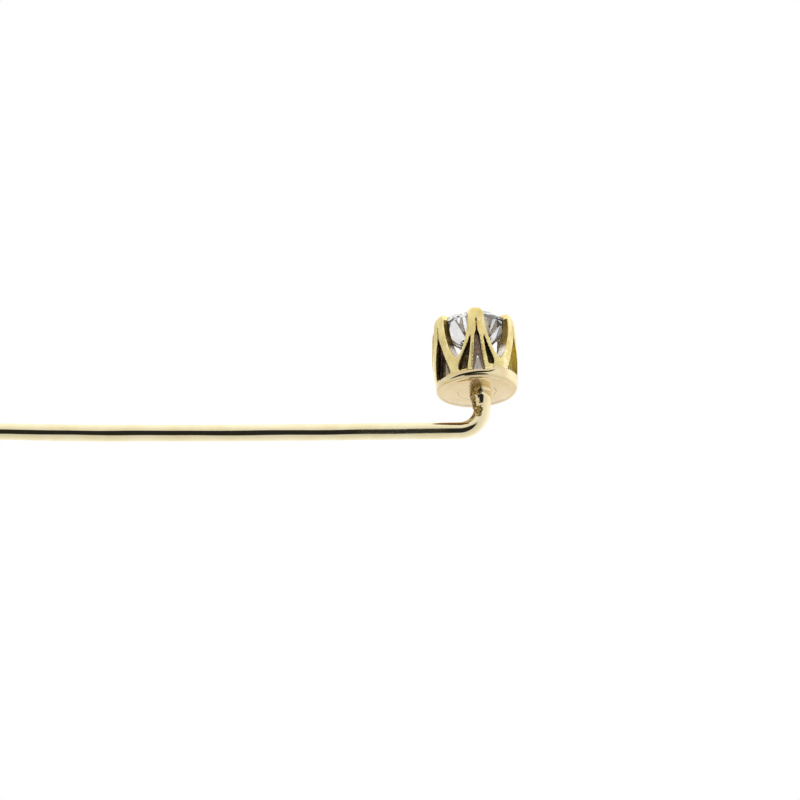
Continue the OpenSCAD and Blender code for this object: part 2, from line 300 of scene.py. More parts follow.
class Nodes:
    """A short way to write a node tree, from a material or a world."""

    def __init__(self, owner):
        owner.use_nodes = True
        self.owner = owner
        self.tree = owner.node_tree
        self.shader = self.tree.nodes.get("Principled BSDF")

    def add(self, kind, **values):
        node = self.tree.nodes.new(kind)
        for key, value in values.items():
            if key.startswith("in_"):
                node.inputs[key[3:].replace("_", " ")].default_value = value
            else:
                setattr(node, key, value)
        return node

    def link(self, a, b):
        self.tree.links.new(a, b)

    def place(self):
        """The object's own coordinates, in metres."""
        return self.add("ShaderNodeTexCoord").outputs["Object"]

    def noise(self, scale, detail, rough=0.5, vector=None):
        node = self.add("ShaderNodeTexNoise", in_Scale=scale, in_Detail=detail, in_Roughness=rough)
        self.link(vector or self.place(), node.inputs["Vector"])
        return node.outputs["Fac"]

    def ramp(self, value, stops):
        node = self.add("ShaderNodeValToRGB")
        while len(node.color_ramp.elements) < len(stops):
            node.color_ramp.elements.new(0.5)
        for element, (at, colour) in zip(node.color_ramp.elements, stops):
            element.position = at
            element.color = (*colour, 1)
        self.link(value, node.inputs["Fac"])
        return node.outputs["Color"]

    def remap(self, value, low, high, to_low, to_high, interpolation_type="LINEAR"):
        node = self.add(
            "ShaderNodeMapRange", in_From_Min=low, in_From_Max=high, in_To_Min=to_low,
            in_To_Max=to_high, interpolation_type=interpolation_type,
        )
        self.link(value, node.inputs["Value"])
        return node.outputs["Result"]

    def mix(self, factor, a, b):
        """Colour a where the factor is 0 and colour b where it is 1."""
        node = self.add("ShaderNodeMix", data_type="RGBA")
        self.link(factor, node.inputs["Factor"])
        for socket, value in ((node.inputs[6], a), (node.inputs[7], b)):
            if isinstance(value, tuple):
                socket.default_value = (*value, 1)
            else:
                self.link(value, socket)
        return node.outputs[2]

    def bump(self, height, strength, distance, normal=None):
        node = self.add("ShaderNodeBump", in_Strength=strength, in_Distance=distance)
        self.link(height, node.inputs["Height"])
        if normal is not None:
            self.link(normal, node.inputs["Normal"])
        return node.outputs["Normal"]

    def attribute(self, name):
        return self.add("ShaderNodeAttribute", attribute_name=name).outputs["Fac"]

    def spot(self, centre, reach, ragged=0.6):
        """A ragged patch: 1 round its centre and 0 beyond its reach along each axis, in millimetres."""
        node = self.add("ShaderNodeMapping")
        node.inputs["Scale"].default_value = [1 / (r * MM) for r in reach]
        node.inputs["Location"].default_value = [-c / r for c, r in zip(centre, reach)]
        self.link(self.place(), node.inputs["Vector"])
        length = self.add("ShaderNodeVectorMath", operation="LENGTH")
        self.link(node.outputs["Vector"], length.inputs[0])
        edge = self.math("MULTIPLY_ADD", self.noise(5000, 4, 0.6), ragged, length.outputs["Value"])
        return self.remap(edge, 0.9 + ragged * 0.5, 1.1 + ragged * 0.5, 1, 0)

    def math(self, operation, *values):
        node = self.add("ShaderNodeMath", operation=operation)
        for socket, value in zip(node.inputs, values):
            if isinstance(value, (int, float)):
                socket.default_value = value
            else:
                self.link(value, socket)
        return node.outputs[0]

    def stretched(self, x, y, z):
        """The object's own coordinates, scaled along each axis."""
        node = self.add("ShaderNodeMapping")
        node.inputs["Scale"].default_value = (x, y, z)
        self.link(self.place(), node.inputs["Vector"])
        return node.outputs["Vector"]


def new_material(name):
    return Nodes(bpy.data.materials.new(name))


def polished_gold(name, light, deep, rough, scratch, stains=(), dull=None, brown=None, marks=()):
    """Polished gold with faint clouding and hairline scratches.

    It can have granular solder stains, a dull spot, a brown spot of painted reflection, and marks where
    an attribute says.
    """
    n = new_material(name)
    cloud = n.noise(900, 3)
    colour = n.mix(n.remap(cloud, 0.35, 0.7, 0, 1), light, deep)
    fine = n.noise(4200, 6, 0.6)
    worn = n.remap(fine, 0.35, 0.75, rough * 0.6, rough * 2.2)
    hair = n.noise(2500, 5, 0.7, n.stretched(1, 1, 0.12))
    first = n.bump(hair, scratch, 0.000004)
    normal = n.bump(n.noise(1500, 2), scratch * 1.6, 0.000012, first)
    # A brown painted reflection where brown says
    if brown:
        colour = n.mix(n.spot(*brown), colour, BROWN_REFLECTION)
    if stains:
        mask = n.spot(*stains[0])
        for stain in stains[1:]:
            mask = n.math("MAXIMUM", mask, n.spot(*stain))
        grain = n.noise(7000, 5, 0.65)
        colour = n.mix(mask, colour, n.ramp(grain, GRAIN_STOPS))
        worn = n.math("MULTIPLY_ADD", mask, 0.16, worn)
        normal = n.bump(n.math("MULTIPLY", grain, mask), 0.8, 0.00003, normal)
    if dull:
        worn = n.math("MULTIPLY_ADD", n.spot(*dull), 0.13, worn)
    # Marks from attributes; on the disc they are painted shade and a painted dark reflection
    for attribute, tint in marks:
        colour = n.mix(n.attribute(attribute), colour, tint)
    n.link(colour, n.shader.inputs["Base Color"])
    n.link(worn, n.shader.inputs["Roughness"])
    n.link(normal, n.shader.inputs["Normal"])
    n.shader.inputs["Metallic"].default_value = 1
    return n.owner


def crown_gold():
    """The crown's gold: painted highlights on its edges, painted shade in its creases, olive, brown or
    black painted shade in its recesses, and painted light with a soft painted glow inside.
    """
    n = new_material("crown_gold")
    cloud = n.noise(1100, 3)
    bright = n.mix(n.remap(cloud, 0.35, 0.7, 0, 1), CROWN_LIGHT, CROWN_DEEP)
    bend = n.add("ShaderNodeNewGeometry").outputs["Pointiness"]
    # Painted highlight along the sharp edges and painted shade in the creases, by how sharply the
    # surface bends
    bright = n.mix(n.remap(bend, 0.55, 0.61, 0, 0.9), bright, CROWN_EDGE_HIGHLIGHT)
    bright = n.mix(n.remap(bend, 0.44, 0.475, 1, 0), bright, CROWN_CREASE_SHADE)
    mottle = n.noise(6500, 4, 0.7)
    black = n.ramp(mottle, BLACK_STOPS)
    olive = n.mix(n.remap(mottle, 0.35, 0.65, 0, 1), *OLIVE)
    brown = n.mix(n.remap(mottle, 0.3, 0.7, 0, 1), *BROWN)
    # Painted shade on the cut sides, turning to a painted highlight as the inside level rises
    side = n.mix(n.remap(cloud, 0.35, 0.65, 0, 1), *CUT_SIDE_SHADE)
    inside = n.attribute("inside")
    deep = n.mix(n.remap(inside, 0.6, 0.9, 0, 1), side, INNER_HIGHLIGHT)
    recess = n.attribute("recess")
    recess_shade = n.attribute("recess_shade")
    # The cuts' painted shade: olive, then brown in the slots, then black
    recess_shading = n.mix(n.remap(recess_shade, 0, SLOT_SHADE, 0, 1), olive, brown)
    recess_shading = n.mix(n.remap(recess_shade, SLOT_SHADE, 1, 0, 1), recess_shading, black)
    surface = n.mix(n.remap(inside, 0.1, 0.4, 0, 1), bright, deep)
    n.link(n.mix(recess, surface, recess_shading), n.shader.inputs["Base Color"])
    # A painted glow where the inside level is above INNER_LEVEL
    glow = n.mix(n.remap(inside, INNER_LEVEL, 1, 0, 1), (0, 0, 0), INNER_PAINTED_GLOW)
    n.link(glow, n.shader.inputs["Emission Color"])
    n.shader.inputs["Emission Strength"].default_value = 1
    n.shader.inputs["Metallic"].default_value = 1
    worn = n.remap(n.noise(4000, 6, 0.6), 0.35, 0.75, 0.07, 0.2)
    dull = n.math("MAXIMUM", recess, inside)
    n.link(n.math("MULTIPLY_ADD", dull, 0.3, worn), n.shader.inputs["Roughness"])
    first = n.bump(n.noise(2500, 5, 0.7), 0.2, 0.000005)
    n.link(n.bump(n.noise(1300, 2), 0.5, 0.000016, first), n.shader.inputs["Normal"])
    return n.owner


def steel(name, tint):
    """Bright steel with brushed marks round it."""
    n = new_material(name)
    brushed = n.noise(3000, 5, 0.6, n.stretched(1, 1, 6))
    n.link(n.mix(brushed, tuple(c * 0.82 for c in tint), tint), n.shader.inputs["Base Color"])
    n.shader.inputs["Metallic"].default_value = 1
    n.link(n.remap(brushed, 0.3, 0.7, 0.16, 0.34), n.shader.inputs["Roughness"])
    n.link(n.bump(brushed, 0.2, 0.000005), n.shader.inputs["Normal"])
    return n.owner


def diamond_glass():
    """Clear stone with a little glow, so that its dark facets stay grey."""
    n = new_material("diamond_glass")
    n.shader.inputs["Transmission Weight"].default_value = 1
    n.shader.inputs["IOR"].default_value = 2.42
    n.shader.inputs["Roughness"].default_value = 0.0
    n.shader.inputs["Emission Color"].default_value = (1, 0.98, 0.96, 1)
    n.shader.inputs["Emission Strength"].default_value = 0.01
    tint = n.mix(n.noise(1800, 4), (0.97, 0.975, 0.985), (1.0, 1.0, 0.99))
    n.link(tint, n.shader.inputs["Base Color"])
    return n.owner


crown_mat = crown_gold()
disc_mat = polished_gold(
    "disc_gold", (0.92, 0.79, 0.5), (0.72, 0.58, 0.33), 0.11, 0.4, stains=(RUN_OUT,),
    marks=(("under", DISC_UNDER_SHADE), ("dark_line", DISC_DARK_LINE)),
)
wire_mat = polished_gold(
    "wire_gold", (0.89, 0.8, 0.54), (0.83, 0.72, 0.44), 0.05, 0.2,
    stains=(INNER_BEND, BELOW_JOINT), dull=STRAIGHT_START, brown=TOP_LINE,
)
solder_mat = polished_gold(
    "solder_gold", (0.93, 0.82, 0.54), (0.85, 0.7, 0.4), 0.05, 0.2, stains=(RUN_OUT, INNER_BEND)
)
plate_mat = polished_gold("plated_gold", (0.88, 0.72, 0.38), (0.8, 0.62, 0.28), 0.08, 0.3)
steel_mat = steel("bright_steel", (0.72, 0.72, 0.73))
ball_mat = steel("ball_steel", (0.8, 0.8, 0.82))
stone_mat = diamond_glass()


# ---------------------------------------------------------------- crown head

# The outside of the crown's wall from its foot to its tips, and its inside from there back to the
# foot, with the seat that holds the stone's girdle, as (radius, height) points
WALL = [
    (DISC_R, DISC_T), (HEAD_R - 0.09, 0.95), (HEAD_R - 0.035, 1.5), (HEAD_R - 0.008, 2.1),
    (HEAD_R, 2.7), (HEAD_R - 0.005, 3.3), (HEAD_R - 0.02, 3.75), (HEAD_R - 0.06, 4.12),
    (HEAD_R - 0.13, 4.36), (HEAD_R - 0.24, 4.53), (HEAD_R - 0.39, TIP_Z - 0.04), (HEAD_R - 0.54, TIP_Z),
    (HEAD_R - 0.68, TIP_Z - 0.03), (HEAD_R - 0.76, TIP_Z - 0.1),
]
INNER = [
    (STONE_R - 0.32, GIRDLE_TOP + 0.235), (STONE_R + 0.012, GIRDLE_TOP + 0.012),
    (STONE_R + 0.012, GIRDLE_LOW - 0.012), (STONE_R - 0.07, GIRDLE_LOW - 0.085), (2.09, 1.9),
    (2.05, 1.0), (2.02, DISC_T),
]
# Outlines as (height, half width) points: first a prong
PRONG_EDGE = [
    (1.25, 1.32), (1.34, 1.24), (1.45, 1.15), (1.65, 1.03), (1.9, 0.92), (2.15, 0.83), (2.55, 0.71),
    (2.9, 0.62), (3.3, 0.55), (3.7, 0.5), (4.05, 0.475), (4.22, 0.44), (4.36, 0.38), (4.46, 0.3),
    (4.54, 0.2), (4.59, 0.09),
]
# The open triangle at the foot of every prong, and the blind slot that runs up from it
ARCH_EDGE = [(DISC_T - 0.2, 0.33), (0.6, 0.26), (0.9, 0.18), (1.2, 0.1), (1.5, 0.02)]
SLOT_EDGE = [
    (DISC_T - 0.2, 0.4), (0.75, 0.34), (1.22, 0.29), (1.69, 0.24), (2.15, 0.195), (2.6, 0.15),
    (2.8, 0.11), (2.93, 0.06), (3.1, 0.045), (3.75, 0.04),
]
# Every second prong has ribs with a leaf-shaped pocket on each side, and the others one deep lancet.
# A leaf has (height, near edge, far edge) points.
RIB_EDGE = [
    (0.5, 0.9), (0.62, 0.93), (0.75, 0.94), (1.22, 0.9), (1.69, 0.74), (2.17, 0.58), (2.5, 0.47),
    (2.75, 0.37), (2.95, 0.25), (3.1, 0.1), (3.13, 0.03),
]
LEFT_LEAF = [
    (0.48, 0.68, 1.1), (0.6, 0.66, 1.19), (0.8, 0.645, 1.19), (1.22, 0.57, 1.03), (1.69, 0.49, 0.82),
    (2.17, 0.43, 0.6), (2.45, 0.39, 0.5), (2.62, 0.38, 0.42),
]
RIGHT_LEAF = [
    (0.88, 0.66, 0.84), (0.93, 0.62, 0.95), (1.05, 0.59, 0.96), (1.22, 0.57, 0.92), (1.69, 0.49, 0.74),
    (2.17, 0.43, 0.58), (2.45, 0.39, 0.5), (2.62, 0.38, 0.42),
]
LANCET_EDGE = [
    (0.5, 0.7), (0.6, 0.75), (0.9, 0.69), (1.2, 0.61), (1.5, 0.52), (1.8, 0.43), (2.1, 0.34),
    (2.4, 0.24), (2.65, 0.13), (2.75, 0.04),
]
# How deep the cuts go, as (radius, height) lines
RIB_FACE = [
    (HEAD_R - 0.28, -1), (HEAD_R - 0.26, 0.6), (HEAD_R - 0.14, 1.5), (HEAD_R - 0.06, 2.1),
    (HEAD_R - 0.02, 2.5), (HEAD_R, 2.72), (HEAD_R + 0.05, 2.95),
]
SLOT_FLOOR = [(HEAD_R - 0.46, -1), (HEAD_R - 0.46, 3.0), (HEAD_R - 0.25, 3.3)]
POCKET_FLOOR = [(HEAD_R - 0.44, -1), (HEAD_R - 0.42, 1.5), (HEAD_R - 0.25, 2.75)]
LANCET_FLOOR = [(HEAD_R - 0.45, -1), (HEAD_R - 0.45, 2.0), (HEAD_R - 0.25, 2.7)]
# Half the width of a prong's share of the foot, which laps into its neighbours' shares
FOOT_HALF = 1.36
# The wall is cut out between these two radii.
CUT_START, CUT_END = 1.2, 4
VOXEL = 0.03
# The inner faces and the outer ones are told apart by this radius.
WALL_MIDDLE = 2.118
# The prong whose lancets get near-black painted shade, and the one whose inner face gets a painted
# highlight and glow
BLACK_PRONG = 5
BRIGHT_PRONG = 3


def two_sided(edge):
    """An outline that is the same on both sides, from (height, half width) points."""
    side = [(w, h) for h, w in smooth_line(edge, 3)]
    return side + [(-w, h) for w, h in reversed(side)]


def leaf(edges, side):
    """A pocket's outline on one side, from (height, near edge, far edge) points."""
    near = [(w, h) for h, w in smooth_line([(h, a) for h, a, b in edges], 3)]
    far = [(w, h) for h, w in smooth_line([(h, b) for h, a, b in edges], 3)]
    return [(side * w, h) for w, h in near + far[::-1]]


def cut(wall, outline, floor, turn):
    """Cuts an outline into the wall at a heading, down to a floor, or right through without one."""
    cutter = prism("cut", outline, CUT_START, CUT_END, turn)
    if floor:
        core = lathe("core", [(0, -1)] + floor + [(floor[-1][0], 5), (0, 5)], steps=180)
        boolean(cutter, core, "DIFFERENCE")
        remove(core)
    boolean(wall, cutter, "DIFFERENCE")
    remove(cutter)


def one_prong(ribbed):
    """A prong and its share of the foot, with its own and both neighbours' cuts."""
    wall = lathe("prong", smooth_line(WALL, 4) + INNER, steps=180, closed=True)
    foot = [(-FOOT_HALF, DISC_T - 0.2), (FOOT_HALF, DISC_T - 0.2), (FOOT_HALF, 1.2)]
    outline = foot + two_sided(PRONG_EDGE) + [(-FOOT_HALF, 1.2)]
    body = prism("body", outline, CUT_START, CUT_END, 0)
    boolean(wall, body, "INTERSECT")
    remove(body)
    for turn in (-60, 0, 60):
        cut(wall, two_sided(ARCH_EDGE), None, turn)
        cut(wall, two_sided(SLOT_EDGE), SLOT_FLOOR, turn)
        if ribbed == (turn == 0):
            cut(wall, two_sided(RIB_EDGE), RIB_FACE, turn)
            cut(wall, leaf(RIGHT_LEAF, 1), POCKET_FLOOR, turn)
            cut(wall, leaf(LEFT_LEAF, -1), POCKET_FLOOR, turn)
        else:
            cut(wall, two_sided(LANCET_EDGE), LANCET_FLOOR, turn)
    return wall


def build_crown():
    """Six prongs in one mesh. The remesh rounds every edge, as casting and polishing do."""
    kinds = [one_prong(True), one_prong(False)]
    bm = bmesh.new()
    for k in range(PRONGS):
        part = kinds[k % 2].data.copy()
        part.transform(Matrix.Rotation(math.radians(PRONG_PHASE + PRONG_SHIFT[k] + 60 * k), 4, "Z"))
        bm.from_mesh(part)
        bpy.data.meshes.remove(part)
    remove(*kinds)
    mesh = bpy.data.meshes.new("crown")
    bm.to_mesh(mesh)
    bm.free()
    crown = bpy.data.objects.new("crown", mesh)
    bpy.context.scene.collection.objects.link(crown)
    use_modifier(crown, "REMESH", mode="VOXEL", voxel_size=VOXEL)
    use_modifier(crown, "SMOOTH", factor=0.5, iterations=6)
    mark_recesses(crown)
    to_metres(crown, HEAD)
    return crown


def mark_recesses(obj):
    """Writes what the material asks for: recess, how deep the painted shade is, and inside, each from 0
    to 1.

    recess is 1 in the cuts, and the painted shade in a cut goes from olive through brown to black.
    inside is
    painted light: INNER_LEVEL on the inner faces, and falling from 1, a painted highlight, to 0.6,
    painted shade, up the cut sides of the prongs.
    """
    mesh = obj.data
    co = np.empty(len(mesh.vertices) * 3)
    mesh.vertices.foreach_get("co", co)
    x, y, z = co.reshape(-1, 3).T
    r = np.hypot(x, y)
    # Depth under the uncut wall, the number of the nearest prong, and u, the distance from its middle
    line = smooth_line([(height, radius) for radius, height in WALL[:9]], 4)
    depth = np.interp(z, [p[0] for p in line], [p[1] for p in line]) - r
    turn = np.degrees(np.arctan2(y, x)) - PRONG_PHASE
    number = np.round(turn / 60).astype(int) % PRONGS
    turn -= np.array(PRONG_SHIFT)[number]
    u = np.abs(r * np.sin(np.radians((turn + 30) % 60 - 30)))
    slot = u < np.interp(z, [e[0] for e in SLOT_EDGE], [e[1] for e in SLOT_EDGE]) + 0.03
    deep = np.clip((depth - 0.1) / 0.1, 0, 1) * (z < 3.2)
    outer = r > WALL_MIDDLE
    ribbed = number % 2 == 0
    # Painted shade in the cuts: brown in the slots, black in the pockets, near black in BLACK_PRONG's
    # lancets and light olive in the other lancets
    lancet_shade = np.where(number == BLACK_PRONG, 0.9, 0.04)
    recess_shade = np.where(ribbed, np.where(slot, SLOT_SHADE, 1.0), lancet_shade)
    rib = ribbed & ~slot & (depth < np.interp(z, [0.6, 1.5, 2.5], [0.31, 0.21, 0.1]))
    edge = np.interp(z, [e[0] for e in PRONG_EDGE], [e[1] for e in PRONG_EDGE])
    side = (u > edge - 0.06) & (z > 1.25) & (depth > 0.08)
    # Painted light inside: the cut sides get a painted highlight low down and painted shade higher up,
    # the inner faces a middle level, and BRIGHT_PRONG's inner face a painted highlight and glow
    side_level = 1 - 0.4 * np.clip((z - 1.9) / 0.5, 0, 1)
    inner_level = np.where((number == BRIGHT_PRONG) & (z > 2.3) & (z < 3.6), 1.0, INNER_LEVEL)
    inside = np.where(side, side_level, np.where(outer, 0.0, inner_level)) * (z < 4.1)
    outer = outer & ~side
    values = {
        "recess": np.where(rib, 0.0, deep) * outer,
        "recess_shade": recess_shade,
        "inside": inside,
    }
    for name, value in values.items():
        mesh.attributes.new(name, "FLOAT", "POINT").data.foreach_set("value", value.astype(np.float32))


crown = build_crown()
piece(crown, "pin", "gold", crown_mat, "prong_basket")


# ---------------------------------------------------------------- base disc

# The faint dark ring painted on the flat underside, and the groove turned in the underside
RING_R = 1.15
GROOVE_R = 2.13
# The rim's dark line, a painted dark reflection: its middle and how far it runs to each side, in
# degrees round the head's axis. Then its height at heading 0, how much it climbs for each degree, and
# half its width
DARK_LINE_TURN = -8
DARK_LINE_REACH = 36
DARK_LINE_HEIGHT = 0.25
DARK_LINE_CLIMB = 0.0028
DARK_LINE_HALF = 0.068
# Where the rim is built up, in degrees, and by how much upward and outward
RIM_START = 16
RIM_END = 140
RIM_RISE = 0.28
RIM_OUT = 0.09


def build_disc():
    """The disc, with a faint dark ring painted underneath, a painted dark reflection on its rim,
    painted shade toward its underside and the metal built up on one side of its rim.
    """
    edge = []
    for k in range(19):
        a = math.pi / 2 * k / 18
        edge.append((DISC_R - DISC_EDGE + DISC_EDGE * math.sin(a), DISC_EDGE - DISC_EDGE * math.cos(a)))
    edge += [(DISC_R, DISC_EDGE + 0.012 * k) for k in range(1, 17)]
    under = [(0, 0.0), (0.5, 0.0), (1.0, 0.0)]
    under += [(RING_R - 0.07 + 0.02 * k, 0.0) for k in range(8)]
    under += [(1.5, 0.0), (GROOVE_R - 0.03, 0.0), (GROOVE_R, 0.02), (GROOVE_R + 0.03, 0.0)]
    top = [(DISC_R, DISC_T - 0.01), (DISC_R - 0.02, DISC_T), (1.8, DISC_T), (0, DISC_T)]
    obj = lathe("base_disc", under + edge + top, steps=256)
    dark_line, below = [], []
    for v in obj.data.vertices:
        turn = math.degrees(math.atan2(v.co.y, v.co.x))
        height = DARK_LINE_HEIGHT + DARK_LINE_CLIMB * turn + 0.012 * noise.noise((turn * 0.06, 2, 4))
        width = DARK_LINE_HALF * max(0.0, 1 - (abs(turn - DARK_LINE_TURN) / DARK_LINE_REACH) ** 3)
        r = math.hypot(v.co.x, v.co.y)
        on_edge = r > DISC_R - 0.3
        patchy = max(0.0, 0.3 + 1.2 * noise.noise((v.co.x * 2.2, v.co.y * 2.2, 3)))
        ring_r = RING_R + 0.025 * noise.noise((turn * 0.05, 5, 1))
        ring = min(0.6, patchy) * (abs(r - ring_r) < 0.022)
        # A painted dark reflection on the rim, and a faint dark ring painted on the underside
        dark_line.append(unit((width - abs(v.co.z - height)) / 0.012) if on_edge else ring)
        # Painted shade, darker and pinker toward the underside
        below.append(0.65 * max(0.0, 1 - v.co.z / 0.12))
        if r > DISC_R - 0.01 and v.co.z > DISC_EDGE:
            built_up = unit((turn - RIM_START) / 14) * unit((RIM_END - turn) / 40)
            rise = built_up * (v.co.z - DISC_EDGE) / (DISC_T - DISC_EDGE)
            v.co.x *= 1 + RIM_OUT * rise / r
            v.co.y *= 1 + RIM_OUT * rise / r
            v.co.z += RIM_RISE * rise
    obj.data.attributes.new("dark_line", "FLOAT", "POINT").data.foreach_set("value", dark_line)
    obj.data.attributes.new("under", "FLOAT", "POINT").data.foreach_set("value", below)
    obj.data.transform(Matrix.Scale(MM, 4) @ HEAD)
    return obj


disc = build_disc()
piece(disc, "pin", "gold", disc_mat, "base_plate")


# ---------------------------------------------------------------- stone

def build_stone():
    """The round brilliant: 57 facets, a faceted girdle and a pointed culet."""
    table_r = TABLE_SHARE * STONE_R
    crown_tan = math.tan(math.radians(CROWN_ANGLE))
    pavilion_tan = math.tan(math.radians(PAVILION_ANGLE))
    c = math.cos(math.radians(22.5))
    table_z = GIRDLE_TOP + (STONE_R - table_r) * crown_tan
    star_r = (table_r * c + STONE_R) / 2
    star_z = GIRDLE_TOP + (STONE_R - star_r * c) * crown_tan
    tip_r = TIP_SHARE * STONE_R
    tip_z = GIRDLE_LOW - (STONE_R - tip_r * c) * pavilion_tan

    def ring(n, r, z, shift):
        turns = [math.radians(360 / n * i + shift) for i in range(n)]
        return [(r * math.cos(a), r * math.sin(a), z) for a in turns]

    verts = ring(8, table_r, table_z, 0) + ring(8, star_r, star_z, 22.5)
    verts += ring(16, STONE_R, GIRDLE_TOP, 0) + ring(16, STONE_R, GIRDLE_LOW, 0)
    verts += ring(8, tip_r, tip_z, 22.5)
    culet = len(verts)
    verts.append((0, 0, GIRDLE_LOW - STONE_R * pavilion_tan))
    faces = [tuple(range(8))]
    for i in range(8):
        a, b = i, (i + 1) % 8
        star, before = 8 + i, 8 + (i - 1) % 8
        g = [16 + (2 * i + k) % 16 for k in range(3)]
        low = [32 + (2 * i + k) % 16 for k in range(3)]
        tip, tip_before = 48 + i, 48 + (i - 1) % 8
        faces += [(a, star, b), (a, before, g[0], star), (star, g[0], g[1]), (star, g[1], g[2])]
        faces += [(g[0], low[0], low[1], g[1]), (g[1], low[1], low[2], g[2])]
        faces += [(low[0], tip, low[1]), (low[1], tip, low[2]), (low[0], tip_before, culet, tip)]
    turn = Matrix.Rotation(math.radians(STONE_TURN), 4, "Z")
    obj = mesh_object("brilliant", verts, faces, Matrix.Scale(MM, 4) @ HEAD @ turn)
    outward(obj)
    obj.data.shade_flat()
    return obj


stone = build_stone()
piece(stone, "pin", "stone", stone_mat, "diamond")


# ---------------------------------------------------------------- wire and solder

WIRE_STEP = 0.12
# The dents of wear run out here, well before the clutch.
WEAR_END = 33
# The bow of a worn pin over the first stretch, and the small kink in it
BOW = 0.17
BOW_END = 36
KINK = 0.05
KINK_S = 27
KINK_WIDTH = 2.2


def wire_path():
    """The stem, the bend and the straight run, as points and the radius at each."""
    points, radii = [], []
    z = BEND_R
    y = -HEAD_DROP + 0.02
    while y < -BEND_R - 0.05:
        points.append((0, y, z))
        radii.append(WIRE_R)
        y += 0.08
    for k in range(33):
        a = math.pi / 2 * k / 32
        points.append((0, -BEND_R + BEND_R * math.sin(a), BEND_R * math.cos(a)))
        radii.append(WIRE_R)
    s = WIRE_STEP
    end = STRAIGHT + TAPER + POINT
    while s < end:
        radius = WIRE_R
        if s > STRAIGHT:
            radius = WIRE_R + (TAPER_R - WIRE_R) * min((s - STRAIGHT) / TAPER, 1)
        if s > STRAIGHT + TAPER:
            radius = max(TAPER_R * (1 - (s - STRAIGHT - TAPER) / POINT) ** 0.8, 0.04)
        bow = BOW * math.sin(math.pi * min(s, BOW_END) / BOW_END)
        bow -= KINK * math.exp(-((s - KINK_S) / KINK_WIDTH) ** 2)
        ripple = 0.006 * noise.noise((s * 0.5, 3, 1)) + 0.003 * noise.noise((s * 1.9, 7, 2))
        points.append((ripple, bow + ripple, -s))
        radii.append(radius * (1 + 0.006 * noise.noise((s * 1.1, 1, 5))))
        s += WIRE_STEP
    points.append((0, 0, -end))
    radii.append(0.02)
    return points, radii


points, radii = wire_path()
wire = sweep("wire", points, radii, sides=72)
for v in wire.data.vertices:
    # Long shallow dents of wear, each a little out of round
    worn = 0.03 * unit(-v.co.z / 3) * unit((WEAR_END + v.co.z) / 3)
    dent = noise.noise(Vector((v.co.x * 1.7, v.co.y * 1.7, v.co.z * 0.3)))
    v.co += Vector((v.co.x, v.co.y, 0)) * worn * dent
wire.data.transform(Matrix.Scale(MM, 4))
piece(wire, "pin", "gold", wire_mat, "pin_wire")


def build_solder():
    """A lopsided collar under the disc that thins down the stem, lumpy on the side toward the pin."""
    steps = 32
    profile = [(0.8, 0.03), (0.78, 0.0), (0.73, -0.04)]
    for k in range(8):
        profile.append((0.7 - 0.005 * k, -0.08 - 0.045 * k))
    for k in range(steps + 1):
        t = k / steps
        profile.append((WIRE_R + 0.01 + 0.15 * (1 - t) ** 1.7, -0.44 - 0.64 * t))
    profile += [(WIRE_R - 0.06, -1.09), (WIRE_R - 0.06, 0.03)]
    obj = lathe("solder", profile, steps=120, closed=True)
    for v in obj.data.vertices:
        r = math.hypot(v.co.x, v.co.y)
        if r < WIRE_R - 0.02:
            continue
        away, toward = max(0.0, v.co.y / r), max(0.0, -v.co.y / r)
        lump = noise.fractal(v.co * 5.5, 1.0, 2.0, 4) * (0.0015 + 0.06 * toward)
        skin = WIRE_R + 0.008
        scale = skin + (r - skin) * (1 - 0.75 * away) + lump + 0.03 * toward
        v.co.x *= scale / r
        v.co.y *= scale / r
    obj.data.transform(Matrix.Scale(MM, 4) @ STEM)
    outward(obj)
    return obj


solder = build_solder()
piece(solder, "pin", "solder", solder_mat, "solder_joint")


# ---------------------------------------------------------------- clutch

# BALL_S, RETAINER_S and all starts and ends are distances from the clutch's mouth.
MOUTH_R = WIRE_R + 0.12
CONE_ANGLE = math.radians(12)
CONE = math.tan(CONE_ANGLE)
BALL_R = 0.38
BALL_S = 1.6
BALL_ORBIT = WIRE_R + (TAPER_R - WIRE_R) * (MOUTH_S + BALL_S - STRAIGHT) / TAPER + BALL_R
CONE_MID_R = BALL_ORBIT + BALL_R / math.cos(CONE_ANGLE) + 0.015
CONE_START, CONE_END = 0.55, 3.0
CONE_START_R = CONE_MID_R - (BALL_S - CONE_START) * CONE
CONE_END_R = CONE_MID_R + (CONE_END - BALL_S) * CONE
HOUSING_R = 2.1
HOUSING_LEN = 5.4
RETAINER_S = HOUSING_LEN - 0.8
RETAINER_T = 0.5
RETAINER_R = CONE_END_R + 0.13
LIP_R = RETAINER_R - 0.25
CAGE_BORE = WIRE_R + 0.08
COLLAR_START, COLLAR_END = 1.05, 2.3
COLLAR_R = CONE_MID_R - (BALL_S - COLLAR_START) * CONE - 0.05
SHANK_R = CAGE_BORE + 0.24
KNOB_START = HOUSING_LEN + 0.35
KNOB_LEN = 6.0
KNOB_R = 1.9
KNOB_FLUTES = 20
SPRING_WIRE = 0.1
SPRING_TURNS = 5


def rounded(profile, radius):
    """Rounds every corner of a closed outline, less where its sides are short."""
    steps = 4
    pts = [Vector((*p, 0)) for p in profile]
    out = []
    for i, p in enumerate(pts):
        back, ahead = pts[i - 1] - p, pts[(i + 1) % len(pts)] - p
        reach = min(radius, back.length * 0.45, ahead.length * 0.45)
        a, b = p + back.normalized() * reach, p + ahead.normalized() * reach
        for k in range(steps + 1):
            t = k / steps
            q = a * (1 - t) ** 2 + p * 2 * t * (1 - t) + b * t * t
            out.append((q.x, q.y))
    return out


